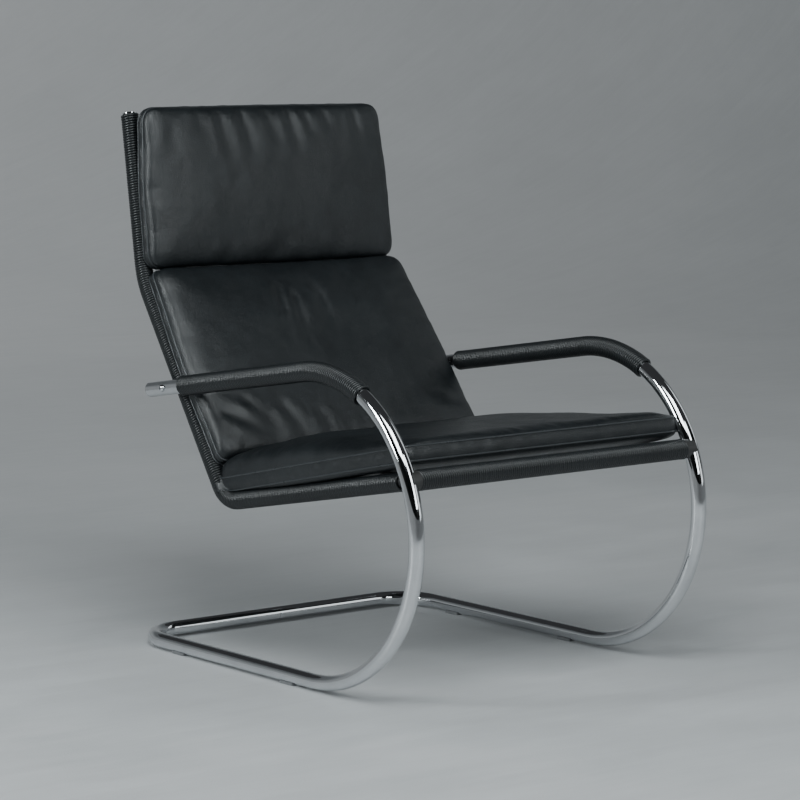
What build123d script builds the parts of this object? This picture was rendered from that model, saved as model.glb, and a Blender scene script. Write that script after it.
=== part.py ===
from build123d import *
import math
import os

# Cantilever lounge chair.  Millimetres, +Z up, the sitter faces -Y.
# Right and left are the sitter's: the right side lies at -X.
# Heights count from the floor, and lengths along Y from the axis of the rear floor bar.

# Chromed main frame: one bent tube line in two halves, joined in the middle of the rear floor bar.
tube_diameter = 25.0
tube_wall = 2.5
frame_spacing = 590.0
glide_thickness = 2.0
rear_corner_radius = 80.0
runner_length = 487.0
lower_bend_radius = 262.0
lower_bend_turn = 46.0
upper_bend_radius = 244.0
arm_slope = 9.7
arm_tail = 48.0
joint_gap = 0.4

# Leather cord wound round the arms, the side rails and the front bar.
cord_diameter = 4.0
arm_wound_turn = 36.8
arm_winding_stop = 43.0
end_turn_rise = 1.2
end_turn_width = 6.0

# Seat and back frame: two bent side rails, each with three straight runs.
rail_diameter = 22.0
rail_wall = 2.0
front_bar_height = 363.0
seat_run = 504.0
seat_slope = 11.0
back_run = 430.0
back_recline = 37.4
head_run = 282.5
head_recline = 13.0
seat_bend_radius = 49.5
head_bend_radius = 141.0
seat_rail_inset = 22.0
back_taper = 21.0
head_taper = 14.0
rail_winding_stop = 38.0

# Front bar between the two loops, with its saddles, plugs and studs.
bar_diameter = 25.0
bar_wall = 2.0
saddle_thickness = 6.0
saddle_diameter = 31.0
plug_length = 30.0
stud_diameter = 8.0
stud_depth = 22.0
rivet_nut_diameter = 11.0
rivet_nut_length = 9.0

# Cross rods between the side rails, one at the nape and one at the heel.
nape_rod_diameter = 15.0
heel_rod_diameter = 14.0
collar_diameter = 21.0
collar_width = 4.0

# Bolted joint between each arm and its side rail.
bolt_diameter = 6.0
bolt_head_diameter = 11.5
bolt_head_height = 3.3
hex_socket_size = 4.0
hex_socket_depth = 2.0
washer_thickness = 2.6
spacer_diameter = 14.0
nut_diameter = 11.0
nut_height = 8.0
nut_end_wall = 1.5
bolt_tip_room = 0.5

# Chromed end caps.
arm_cap_rise = 4.5
rail_cap_rise = 4.0
rail_cap_diameter = 25.0
cap_spigot_length = 14.0

# Sleeve and screws of the joint in the rear bar.
sleeve_length = 120.0
sleeve_wall = 3.0
joint_screw_offset = 35.0
joint_screw_diameter = 6.0

# Glides under the floor runners.
glide_length = 34.0
glide_width = 18.0
glide_height = 5.0
glide_front_inset = 60.0
glide_rear_inset = 130.0

# Webbing straps, riveted to steel lugs on the inner side of the rails.
strap_width = 45.0
strap_thickness = 2.5
strap_end_inset = 18.5
lug_width = 30.0
lug_thickness = 3.0
lug_reach = 42.0
rivet_inset = 31.0
rivet_diameter = 5.0
rivet_head_diameter = 10.0
rivet_head_height = 1.4
rivet_tail = 1.2
seat_strap_front = 104.0
seat_strap_rear = 100.0
seat_strap_count = 4
back_strap_bolt_offset = 38.0
back_strap_heel_room = 30.0
head_strap_low = 80.0
head_strap_top = 72.5
head_strap_count = 3

# Leather cushions: a sewn band all round between a crowned front panel and a crowned back panel.
# A start and an end are the distances left free at the two ends of the run that carries the
# cushion, and a margin is how far its side stands outside the rail's axis.
leather_thickness = 2.0
band_bulge = 1.5
edge_overhang = 2.5
panel_margin = 18.0
crown_reach = 80.0
draw_in = 1.0
seat_cushion_start = 14.0
seat_cushion_end = 20.0
seat_cushion_front_margin = 6.0
seat_cushion_rear_margin = 2.0
seat_cushion_lift = 30.0
seat_cushion_tilt = -1.7
seat_band = 22.0
seat_corner_radius = 16.0
seat_crown = 30.0
seat_under_crown = 15.0
back_cushion_start = 58.0
back_cushion_end = 4.0
back_cushion_low_margin = 5.0
back_cushion_high_margin = 8.0
back_cushion_lift = 15.8
back_cushion_tilt = 0.3
back_band = 13.0
back_corner_radius = 14.0
back_crown = 30.0
back_under_crown = 13.0
head_cushion_start = 20.0
head_cushion_end = 3.5
head_cushion_low_margin = 3.0
head_cushion_high_margin = 7.8
head_cushion_lift = 16.5
head_cushion_tilt = 4.4
head_band = 13.0
head_corner_radius = 26.0
head_crown = 28.0
head_under_crown = 18.0

# Clearances.
weld_gap = 0.2
slide_gap = 0.15
cord_gap = 0.15
face_gap = 0.1
bore_gap = 0.3
notch_gap = 0.6
soft_gap = 0.3

# Sizes that follow from the values above.
tube_radius = tube_diameter / 2
rail_radius = rail_diameter / 2
bar_radius = bar_diameter / 2
half_spacing = frame_spacing / 2
wound_rail_radius = rail_radius + cord_diameter
wound_bar_radius = bar_radius + cord_diameter
runner_height = glide_thickness + tube_radius
upper_bend_turn = 180.0 + arm_slope - lower_bend_turn
bar_half_length = half_spacing - tube_radius - saddle_thickness
seat_half_width = half_spacing - seat_rail_inset
nape_half_width = seat_half_width - back_taper
top_half_width = nape_half_width - head_taper


def sine(degrees):
    return math.sin(math.radians(degrees))


def cosine(degrees):
    return math.cos(math.radians(degrees))


# Centre of the upper front bend.  "Forward" is the distance in front of the rear floor bar.
join_forward = runner_length + lower_bend_radius * sine(lower_bend_turn)
join_height = runner_height + lower_bend_radius * (1 - cosine(lower_bend_turn))
bend_forward = join_forward - upper_bend_radius * sine(lower_bend_turn)
bend_height = join_height + upper_bend_radius * cosine(lower_bend_turn)

# The front bar crosses the loops where their axis is at its height.
bar_drop = front_bar_height - bend_height
front_bar_forward = bend_forward + math.sqrt(upper_bend_radius**2 - bar_drop**2)

# The arm's straight run starts at the end of the upper bend and slopes down to the rear.
arm_start = Vector(-half_spacing, upper_bend_radius * sine(arm_slope) - bend_forward,
                   bend_height + upper_bend_radius * cosine(arm_slope))
arm_direction = Vector(0, cosine(arm_slope), -sine(arm_slope))

# Slopes of the three rail runs, as angles above the rearward direction.
seat_angle = -seat_slope
back_angle = 90.0 - back_recline
head_angle = 90.0 - head_recline


def along_run(angle, distance):
    return Vector(0, cosine(angle), sine(angle)) * distance


def off_run(angle, distance):
    return Vector(0, -sine(angle), cosine(angle)) * distance


def on_side(point, half_width):
    """The same point of the side view, on the right side at this half width."""
    return Vector(-half_width, point.Y, point.Z)


# Feet of the runs in the side view, and the corner points of the right rail.
front_foot = Vector(0, -front_bar_forward, front_bar_height)
heel_foot = front_foot + along_run(seat_angle, seat_run)
nape_foot = heel_foot + along_run(back_angle, back_run)
top_foot = nape_foot + along_run(head_angle, head_run)
rail_points = [
    on_side(front_foot, seat_half_width),
    on_side(heel_foot, seat_half_width),
    on_side(nape_foot, nape_half_width),
    on_side(top_foot, top_half_width),
]

# Each run: its foot, its angle, its length and the rails' half width at both ends.
seat_section = (front_foot, seat_angle, seat_run, seat_half_width, seat_half_width)
back_section = (heel_foot, back_angle, back_run, seat_half_width, nape_half_width)
head_section = (nape_foot, head_angle, head_run, nape_half_width, top_half_width)


def section_plane(section, distance, lift, turn=0.0):
    """Plane over a run: X across the chair, Y up along the run, Z towards the sitter."""
    foot, angle = section[0], section[1]
    origin = foot + along_run(angle, distance) + off_run(angle, lift)
    return Plane(origin=origin, x_dir=(1, 0, 0), z_dir=off_run(angle + turn, 1.0))


def section_half_width(section, distance):
    length, low, high = section[2], section[3], section[4]
    return low + (high - low) * distance / length


# The arm bolt sits where the arm's axis crosses the back run of the rail in the side view.
arm_fall = sine(arm_slope) / cosine(arm_slope)
bolt_distance = (arm_start.Z - heel_foot.Z - (heel_foot.Y - arm_start.Y) * arm_fall) / (
    sine(back_angle) + cosine(back_angle) * arm_fall
)
bolt_foot = heel_foot + along_run(back_angle, bolt_distance)
bolt_rail_half = section_half_width(back_section, bolt_distance)
bolt_along_arm = (bolt_foot.Y - arm_start.Y) / cosine(arm_slope)
arm_length = bolt_along_arm + arm_tail


def cross_cylinder(centre, radius, start, end):
    """Cylinder along X through a point of the side view, between two X values."""
    face = Plane(origin=(start, centre.Y, centre.Z), z_dir=(1, 0, 0)) * Circle(radius)
    return extrude(face, end - start)


def tube_along(edges, outer_radius, inner_radius=0.0):
    """Round tube along straight runs and arcs end to end, or a rod if it has no inner radius."""
    section = Circle(outer_radius)
    if inner_radius > 0:
        section = section - Circle(inner_radius)
    stretches = []
    for edge in edges:
        face = Plane(origin=edge @ 0, z_dir=edge % 0) * section
        if edge.geom_type == GeomType.LINE:
            stretches.append(extrude(face, edge.length))
        else:
            turn_axis = Axis(edge.arc_center, (edge @ 0 - edge.arc_center).cross(edge % 0))
            turn = math.degrees(edge.length / edge.radius)
            stretches.append(revolve(face, axis=turn_axis, revolution_arc=turn))
    tube = stretches[0]
    for stretch in stretches[1:]:
        tube = tube + stretch
    return tube


def left_of(shape):
    """The left-hand copy of a right-hand piece."""
    return mirror(shape, about=Plane.YZ)


def pair_of(shape):
    """The right-hand and left-hand copies of one small piece, as separate solids."""
    return Compound(children=[shape, left_of(shape)])


# ---- Paths ----


def floor_edges():
    """Rear bar, rear corner and floor runner of the right loop."""
    corner_start = rear_corner_radius - half_spacing
    bar = Line((-joint_gap / 2, 0, runner_height), (corner_start, 0, runner_height))
    corner = Plane.XY.offset(runner_height) * JernArc(
        (corner_start, 0), (-1, 0), rear_corner_radius, 90
    )
    runner = Line((-half_spacing, -rear_corner_radius, runner_height),
                  (-half_spacing, -runner_length, runner_height))
    return [bar, corner, runner]


def loop_plane():
    """Plane of the right loop: local X forward, local Y up."""
    return Plane(origin=(-half_spacing, 0, 0), x_dir=(0, -1, 0), z_dir=(-1, 0, 0))


def front_edges():
    """The two front bends and the arm of the right loop, cut where the arm's winding begins."""
    lower = JernArc((runner_length, runner_height), (1, 0), lower_bend_radius, lower_bend_turn)
    upper = JernArc(lower @ 1, lower % 1, upper_bend_radius, upper_bend_turn - arm_wound_turn)
    wound = JernArc(upper @ 1, upper % 1, upper_bend_radius, arm_wound_turn)
    arm_wound = PolarLine(wound @ 1, bolt_along_arm - arm_winding_stop, direction=wound % 1)
    arm_bare = PolarLine(arm_wound @ 1, arm_winding_stop + arm_tail, direction=wound % 1)
    return [loop_plane() * edge for edge in (lower, upper, wound, arm_wound, arm_bare)]


def rail_edges(points):
    """Runs and bends of the right rail through its corner points."""
    return FilletPolyline(*points, radius=[seat_bend_radius, head_bend_radius]).edges()


def rail_winding_edges():
    """The rail's path from behind the front bar to the underside of the top cap."""
    start = rail_points[0] + (rail_points[1] - rail_points[0]).normalized() * rail_winding_stop
    return rail_edges([start] + rail_points[1:])


# ---- Cutting tools shared by the pieces that seat on the tubes ----


def front_bend_cutter(gap):
    """The bare front of the right loop, grown by a gap."""
    return tube_along([front_edges()[1]], tube_radius + gap)


def arm_cutter(gap):
    """The straight run of the right arm, grown by a gap."""
    face = Plane(origin=arm_start, z_dir=arm_direction) * Circle(tube_radius + gap)
    return extrude(face, arm_length)


def run_cutter(section, gap):
    """One straight run of the right rail, grown by a gap."""
    foot, angle, length, low, high = section
    start = on_side(foot, low)
    direction = on_side(foot + along_run(angle, length), high) - start
    face = Plane(origin=start, z_dir=direction) * Circle(rail_radius + gap)
    return extrude(face, length)


# ---- Main frame ----


def make_frame_tube():
    tube = tube_along(floor_edges() + front_edges(), tube_radius, tube_radius - tube_wall)
    bolt_hole = cross_cylinder(bolt_foot, bolt_diameter / 2 + bore_gap,
                               -half_spacing - tube_diameter, -half_spacing + tube_diameter)
    nut_hole = cross_cylinder(front_foot, rivet_nut_diameter / 2 + slide_gap,
                              -half_spacing, -half_spacing + tube_diameter)
    screw_hole = extrude(
        Plane.XY * Pos(-joint_screw_offset, 0) * Circle(joint_screw_diameter / 2 + slide_gap),
        runner_height,
    )
    return tube - bolt_hole - nut_hole - screw_hole


def make_joint_sleeve():
    outer = tube_radius - tube_wall - slide_gap
    centre = Vector(0, 0, runner_height)
    sleeve = cross_cylinder(centre, outer, -sleeve_length / 2, sleeve_length / 2)
    sleeve = sleeve - cross_cylinder(centre, outer - sleeve_wall, -sleeve_length, sleeve_length)
    for side in (-1, 1):
        hole = Pos(side * joint_screw_offset, 0) * Circle(joint_screw_diameter / 2 + slide_gap)
        sleeve = sleeve - extrude(hole, runner_height)
    return sleeve


def make_joint_screw():
    """Short set screw through the underside of the rear bar into the sleeve."""
    low = glide_thickness + tube_wall / 4
    high = glide_thickness + tube_wall + sleeve_wall
    screw = extrude(Plane.XY.offset(low) * Circle(joint_screw_diameter / 2), high - low)
    socket = extrude(Plane.XY.offset(low) * RegularPolygon(hex_socket_size / 2, 6),
                     hex_socket_depth)
    return Pos(-joint_screw_offset, 0) * (screw - socket)


def end_cap(spigot_radius, cap_radius, rise):
    """Domed plug with its rim at local z = 0 and its spigot below."""
    rim = rise * 0.3
    dome_radius = (cap_radius**2 + (rise - rim) ** 2) / (2 * (rise - rim))
    half_way = rise - dome_radius + math.sqrt(dome_radius**2 - cap_radius**2 / 4)
    corners = [(0, rise), (0, -cap_spigot_length), (spigot_radius, -cap_spigot_length),
               (spigot_radius, 0), (cap_radius, 0), (cap_radius, rim)]
    dome = ThreePointArc((cap_radius, rim), (cap_radius / 2, half_way), (0, rise))
    return revolve(Plane.XZ * make_face([Polyline(*corners), dome]), axis=Axis.Z)


def make_arm_cap():
    tip = arm_start + arm_direction * (arm_length + face_gap)
    cap = end_cap(tube_radius - tube_wall - slide_gap, tube_radius, arm_cap_rise)
    return Plane(origin=tip, z_dir=arm_direction) * cap


def make_glides():
    """Four pads under the runners, hollowed to the tube."""
    pad = extrude(RectangleRounded(glide_width, glide_length, glide_width / 4), glide_height)
    channel = Plane.XZ * Pos(0, runner_height) * Circle(tube_radius + face_gap)
    pad = pad - extrude(channel, glide_length, both=True)
    front = Pos(-half_spacing, glide_front_inset - runner_length) * pad
    rear = Pos(-half_spacing, -glide_rear_inset) * pad
    return Compound(children=[front, rear, left_of(front), left_of(rear)])


# ---- Cord windings ----


def winding(edges, core_radius):
    """Sleeve of wound cord with a raised last turn at both ends."""
    outer = core_radius + cord_diameter
    sleeve = tube_along(edges, outer, core_radius + cord_gap)
    ring = Circle(outer + end_turn_rise) - Circle(outer - cord_diameter / 2)
    for start, direction in ((edges[0] @ 0, edges[0] % 0), (edges[-1] @ 1, (edges[-1] % 1) * -1)):
        sleeve = sleeve + extrude(Plane(origin=start, z_dir=direction) * ring, end_turn_width)
    return sleeve


def make_arm_winding():
    return winding(front_edges()[2:4], tube_radius)


def make_rail_winding():
    sleeve = winding(rail_winding_edges(), rail_radius)
    inner_end = wound_rail_radius * 2 - bolt_rail_half
    sleeve = sleeve - cross_cylinder(bolt_foot, spacer_diameter / 2 + notch_gap,
                                     -half_spacing, inner_end)
    sleeve = sleeve - cross_cylinder(nape_rod_centre(), nape_rod_diameter / 2 + notch_gap,
                                     -nape_half_width, 0)
    sleeve = sleeve - cross_cylinder(heel_rod_centre(), heel_rod_diameter / 2 + notch_gap,
                                     -seat_half_width, 0)
    for _, section, distance, plane in strap_stations():
        sleeve = sleeve - lug_box(section, distance, plane, notch_gap)
    return sleeve


def make_bar_winding():
    ends = bar_half_length - face_gap
    outer = cross_cylinder(front_foot, wound_bar_radius, -ends, ends)
    sleeve = outer - cross_cylinder(front_foot, bar_radius + cord_gap, -ends, ends)
    notch = run_cutter(seat_section, notch_gap)
    return sleeve - notch - left_of(notch)


# ---- Seat and back frame ----


def nape_rod_centre():
    """Point of the rail's axis in the middle of the bend at the nape."""
    half_turn = (head_angle - back_angle) / 2
    shift = head_bend_radius * (1 / cosine(half_turn) - 1)
    return nape_foot + off_run(back_angle + half_turn, shift)


def heel_rod_centre():
    """Point of the rail's axis in the middle of the bend between seat and back."""
    half_turn = (back_angle - seat_angle) / 2
    shift = seat_bend_radius * (1 / cosine(half_turn) - 1)
    return heel_foot + off_run(seat_angle + half_turn, shift)


def make_side_rail():
    rail = tube_along(rail_edges(rail_points), rail_radius, rail_radius - rail_wall)
    rail = rail - cross_cylinder(front_foot, bar_radius + weld_gap, -half_spacing, 0)
    return rail - cross_cylinder(bolt_foot, bolt_diameter / 2 + bore_gap, -half_spacing, 0)


def make_rail_cap():
    direction = (rail_points[3] - rail_points[2]).normalized()
    tip = rail_points[3] + direction * face_gap
    cap = end_cap(rail_radius - rail_wall - slide_gap, rail_cap_diameter / 2, rail_cap_rise)
    return Plane(origin=tip, z_dir=direction) * cap


def make_front_bar():
    outer = cross_cylinder(front_foot, bar_radius, -bar_half_length, bar_half_length)
    return outer - cross_cylinder(front_foot, bar_radius - bar_wall,
                                  -bar_half_length, bar_half_length)


def make_saddle():
    """Block between the bar's square end and the round loop tube."""
    block = cross_cylinder(front_foot, saddle_diameter / 2,
                           -half_spacing, -bar_half_length - face_gap)
    bore = cross_cylinder(front_foot, stud_diameter / 2 + slide_gap, -half_spacing, 0)
    return block - front_bend_cutter(weld_gap) - run_cutter(seat_section, notch_gap) - bore


def make_bar_plug():
    inner_end = plug_length - bar_half_length
    plug = cross_cylinder(front_foot, bar_radius - bar_wall - slide_gap,
                          -bar_half_length, inner_end)
    return plug - cross_cylinder(front_foot, stud_diameter / 2 + slide_gap,
                                 -half_spacing, inner_end)


def make_stud():
    inner_wall = tube_radius - tube_wall
    return cross_cylinder(front_foot, stud_diameter / 2,
                          -half_spacing + inner_wall - rivet_nut_length,
                          stud_depth - bar_half_length)


def make_rivet_nut():
    """Threaded barrel set in the inner wall of the loop tube."""
    inner_face = -half_spacing + tube_radius - tube_wall / 2
    barrel = cross_cylinder(front_foot, rivet_nut_diameter / 2,
                            inner_face - rivet_nut_length, inner_face)
    return barrel - cross_cylinder(front_foot, stud_diameter / 2 + slide_gap, -half_spacing, 0)


def cross_rod(centre, diameter, half_width):
    """Rod between the two rails with its ends hollowed to fit them."""
    rod = cross_cylinder(centre, diameter / 2, -half_width, half_width)
    fit = tube_along(rail_edges(rail_points), rail_radius + weld_gap)
    return rod - fit - left_of(fit)


def make_nape_rod():
    return cross_rod(nape_rod_centre(), nape_rod_diameter, nape_half_width)


def make_heel_rod():
    return cross_rod(heel_rod_centre(), heel_rod_diameter, seat_half_width)


def make_nape_collar():
    """Chromed ring on the nape rod, against the winding of the right rail."""
    outer_end = wound_rail_radius + bore_gap - nape_half_width
    ring = cross_cylinder(nape_rod_centre(), collar_diameter / 2,
                          outer_end, outer_end + collar_width)
    bore = cross_cylinder(nape_rod_centre(), nape_rod_diameter / 2 + slide_gap,
                          -nape_half_width, 0)
    return ring - bore


# ---- Bolted joint between arm and rail ----


def make_arm_spacer():
    body = cross_cylinder(bolt_foot, spacer_diameter / 2, -half_spacing, -bolt_rail_half)
    bore = cross_cylinder(bolt_foot, bolt_diameter / 2 + slide_gap, -half_spacing, 0)
    return body - arm_cutter(weld_gap) - run_cutter(back_section, weld_gap) - bore


def make_arm_washer():
    """Cupped washer between the bolt head and the round arm tube."""
    outer_face = -half_spacing - tube_radius - washer_thickness / 2
    body = cross_cylinder(bolt_foot, bolt_head_diameter / 2,
                          outer_face, outer_face + washer_thickness)
    bore = cross_cylinder(bolt_foot, bolt_diameter / 2 + slide_gap, -frame_spacing, 0)
    return body - arm_cutter(face_gap) - bore


def make_arm_bolt():
    """Button-head bolt with a hexagon socket, through arm, spacer and rail."""
    under_head = -half_spacing - tube_radius - washer_thickness / 2 - face_gap
    end = rail_radius + nut_height - nut_end_wall - bolt_tip_room - bolt_rail_half
    shank = cross_cylinder(bolt_foot, bolt_diameter / 2, under_head, end)
    rim = bolt_head_height * 0.25
    profile = [
        Line((0, 0, 0), (bolt_head_diameter / 2, 0, 0)),
        Line((bolt_head_diameter / 2, 0, 0), (bolt_head_diameter / 2, 0, rim)),
        ThreePointArc((bolt_head_diameter / 2, 0, rim),
                      (bolt_head_diameter * 0.4, 0, bolt_head_height * 0.75),
                      (bolt_head_diameter * 0.26, 0, bolt_head_height)),
        Line((bolt_head_diameter * 0.26, 0, bolt_head_height), (0, 0, bolt_head_height)),
        Line((0, 0, bolt_head_height), (0, 0, 0)),
    ]
    head = revolve(make_face(profile), axis=Axis.Z)
    socket = Plane.XY.offset(bolt_head_height) * RegularPolygon(
        hex_socket_size / 2, 6, major_radius=False
    )
    head = head - extrude(socket, -hex_socket_depth)
    seat = Plane(origin=(under_head, bolt_foot.Y, bolt_foot.Z), z_dir=(-1, 0, 0))
    return shank + seat * head


def make_arm_nut():
    """Cap nut on the inner side of the rail, hollowed to the tube."""
    bore_end = rail_radius + nut_height - nut_end_wall - bolt_rail_half
    plane = Plane(origin=(-bolt_rail_half, bolt_foot.Y, bolt_foot.Z), z_dir=(1, 0, 0))
    body = extrude(plane * RegularPolygon(nut_diameter / 2, 6), rail_radius + nut_height)
    bore = cross_cylinder(bolt_foot, bolt_diameter / 2 + slide_gap, -half_spacing, bore_end)
    return body - run_cutter(back_section, weld_gap) - bore


# ---- Straps ----


def strap_plane(section, distance, cushion_start, lift, tilt, under_crown):
    """Middle plane of a strap that lies against the underside of a cushion."""
    rise = (distance - cushion_start) * sine(tilt)
    depth = under_crown + soft_gap + strap_thickness / 2
    return section_plane(section, distance, lift + (rise - depth) / cosine(tilt), tilt)


def even_places(first, last, count):
    return [first + (last - first) * number / (count - 1) for number in range(count)]


def strap_stations():
    """Name, run, place along it and middle plane of each strap."""
    seat_places = even_places(seat_strap_front, seat_run - seat_strap_rear, seat_strap_count)
    below_bolt = bolt_distance - back_strap_bolt_offset
    above_bolt = bolt_distance + back_strap_bolt_offset
    back_places = [(back_strap_heel_room + below_bolt) / 2, below_bolt,
                   above_bolt, (above_bolt + back_run) / 2]
    head_places = even_places(head_strap_low, head_run - head_strap_top, head_strap_count)
    stations = []
    for name, section, places, cushion in (
        ("seat_strap", seat_section, seat_places,
         (seat_cushion_start, seat_cushion_lift, seat_cushion_tilt, seat_under_crown)),
        ("back_strap", back_section, back_places,
         (back_cushion_start, back_cushion_lift, back_cushion_tilt, back_under_crown)),
        ("head_strap", head_section, head_places,
         (head_cushion_start, head_cushion_lift, head_cushion_tilt, head_under_crown)),
    ):
        for number, distance in enumerate(places, 1):
            plane = strap_plane(section, distance, *cushion)
            stations.append((f"{name}_{number}", section, distance, plane))
    return stations


def rivet_place(section, distance):
    return Pos(rivet_inset - section_half_width(section, distance), 0)


def rivet_hole(section, distance, plane):
    circle = rivet_place(section, distance) * Circle(rivet_diameter / 2 + slide_gap)
    return extrude(plane * circle, lug_width, both=True)


def make_strap(section, distance, plane):
    half = section_half_width(section, distance) - strap_end_inset
    strap = plane * Box(2 * half, strap_width, strap_thickness)
    hole = rivet_hole(section, distance, plane)
    return strap - hole - left_of(hole)


def lug_box(section, distance, plane, gap):
    """Flat lug behind a strap, from the rail's axis inwards."""
    half = section_half_width(section, distance)
    box = Box(lug_reach, lug_width + 2 * gap, lug_thickness + 2 * gap)
    depth = (strap_thickness + lug_thickness) / 2 + face_gap
    return plane.offset(-depth) * Pos(lug_reach / 2 - half, 0) * box


def make_lug(section, distance, plane):
    lug = lug_box(section, distance, plane, 0)
    rail = run_cutter(section, weld_gap)
    return lug - rail - rivet_hole(section, distance, plane)


def make_rivet(section, distance, plane):
    """Rivet with its head on the strap and its rolled end behind the lug."""
    place = rivet_place(section, distance)
    seat = strap_thickness / 2 + face_gap
    depth = strap_thickness + lug_thickness + 2 * face_gap + rivet_tail
    shank = extrude(plane.offset(seat) * place * Circle(rivet_diameter / 2), -depth)
    head = extrude(plane.offset(seat) * place * Circle(rivet_head_diameter / 2), rivet_head_height)
    return shank + head


# ---- Cushions ----


def panel_outline(low_half, high_half, length, corner_radius, inset):
    """Rounded four-sided outline whose sides draw in between the corners."""
    low, high = low_half - inset, high_half - inset
    start, end = inset, length - inset
    corner = min(corner_radius + inset / 6, (end - start) * 0.45)
    bow = corner * (1 - cosine(45))
    waist = (low + high) / 2 - draw_in
    middle = (start + end) / 2
    edges = [
        ThreePointArc((corner - low, start), (0, start + draw_in), (low - corner, start)),
        ThreePointArc((low - corner, start), (low - bow, start + bow), (low, start + corner)),
        ThreePointArc((low, start + corner), (waist, middle), (high, end - corner)),
        ThreePointArc((high, end - corner), (high - bow, end - bow), (high - corner, end)),
        ThreePointArc((high - corner, end), (0, end - draw_in), (corner - high, end)),
        ThreePointArc((corner - high, end), (bow - high, end - bow), (-high, end - corner)),
        ThreePointArc((-high, end - corner), (-waist, middle), (-low, start + corner)),
        ThreePointArc((-low, start + corner), (bow - low, start + bow), (corner - low, start)),
    ]
    return make_face(edges)


def panel_levels(low_half, high_half, length, corner_radius, levels):
    """The outline at several insets and heights."""
    faces = []
    for inset, height in levels:
        outline = panel_outline(low_half, high_half, length, corner_radius, inset)
        faces.append(Plane.XY.offset(height) * outline)
    return faces


def cushion_body(low_half, high_half, length, corner_radius, band, crown, under_crown, shrink):
    """Band and two crowned panels, grown inwards by the shrink on every side."""
    low, high, span = low_half - shrink, high_half - shrink, length - 2 * shrink
    base, top = shrink, band - shrink
    levels = [
        (panel_margin * 4, base - under_crown),
        (panel_margin * 2, base - under_crown * 0.6),
        (panel_margin, base),
        (0, base),
        (-band_bulge, band / 2),
        (0, top),
        (-edge_overhang, top + crown * 0.25),
        (edge_overhang, top + crown * 0.55),
        (crown_reach * 0.18, top + crown * 0.8),
        (crown_reach, top + crown),
    ]
    return Pos(0, shrink) * loft(panel_levels(low, high, span, corner_radius, levels), ruled=True)


def make_cushion(section, start, end, low_margin, high_margin, lift, tilt,
                 corner_radius, band, crown, under_crown):
    """Leather cover and foam core of one cushion."""
    top = section[2] - end
    sizes = (section_half_width(section, start) + low_margin,
             section_half_width(section, top) + high_margin,
             top - start, corner_radius, band, crown, under_crown)
    cover = cushion_body(*sizes, 0) - cushion_body(*sizes, leather_thickness)
    core = cushion_body(*sizes, leather_thickness + 2 * soft_gap)
    plane = section_plane(section, start, lift, tilt)
    return plane * cover, plane * core


def make_seat_cushion():
    return make_cushion(seat_section, seat_cushion_start, seat_cushion_end,
                        seat_cushion_front_margin, seat_cushion_rear_margin,
                        seat_cushion_lift, seat_cushion_tilt, seat_corner_radius, seat_band,
                        seat_crown, seat_under_crown)


def make_back_cushion():
    return make_cushion(back_section, back_cushion_start, back_cushion_end,
                        back_cushion_low_margin, back_cushion_high_margin,
                        back_cushion_lift, back_cushion_tilt, back_corner_radius, back_band,
                        back_crown, back_under_crown)


def make_head_cushion():
    return make_cushion(head_section, head_cushion_start, head_cushion_end,
                        head_cushion_low_margin, head_cushion_high_margin,
                        head_cushion_lift, head_cushion_tilt, head_corner_radius, head_band,
                        head_crown, head_under_crown)


# ---- The whole chair ----


def build_nodes():
    nodes = {}
    for name, shape in (
        ("frame_tube", make_frame_tube()),
        ("arm_winding", make_arm_winding()),
        ("side_rail", make_side_rail()),
        ("rail_winding", make_rail_winding()),
        ("strap_lugs", Compound(children=[make_lug(*place) for _, *place in strap_stations()])),
    ):
        nodes[name + "_right"] = shape
        nodes[name + "_left"] = left_of(shape)
    for name, shape in (
        ("frame_joint_screws", make_joint_screw()),
        ("arm_end_caps", make_arm_cap()),
        ("rail_end_caps", make_rail_cap()),
        ("front_saddles", make_saddle()),
        ("front_bar_plugs", make_bar_plug()),
        ("front_studs", make_stud()),
        ("front_rivet_nuts", make_rivet_nut()),
        ("nape_rod_collars", make_nape_collar()),
        ("arm_spacers", make_arm_spacer()),
        ("arm_bolts", make_arm_bolt()),
        ("arm_bolt_washers", make_arm_washer()),
        ("arm_nuts", make_arm_nut()),
    ):
        nodes[name] = pair_of(shape)
    nodes["frame_joint_sleeve"] = make_joint_sleeve()
    nodes["floor_glides"] = make_glides()
    nodes["front_bar"] = make_front_bar()
    nodes["front_bar_winding"] = make_bar_winding()
    nodes["nape_rod"] = make_nape_rod()
    nodes["heel_rod"] = make_heel_rod()
    for name, *place in strap_stations():
        nodes[name] = make_strap(*place)
    rivets = [make_rivet(*place) for _, *place in strap_stations()]
    nodes["strap_rivets"] = Compound(children=rivets + [left_of(rivet) for rivet in rivets])
    for name, (cover, core) in (("seat", make_seat_cushion()), ("back", make_back_cushion()),
                                ("head", make_head_cushion())):
        nodes[name + "_cushion_cover"] = cover
        nodes[name + "_cushion_core"] = core
    return nodes


os.makedirs("parts", exist_ok=True)
chair = build_nodes()
bounds = [shape.bounding_box() for shape in chair.values()]
middle_depth = (min(box.min.Y for box in bounds) + max(box.max.Y for box in bounds)) / 2
for name, shape in chair.items():
    export_step(Pos(0, -middle_depth, 0) * shape, f"parts/{name}.step")
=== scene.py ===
import math
import random

import bmesh
import bpy
import numpy as np
from mathutils import Matrix, Vector, noise


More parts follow.
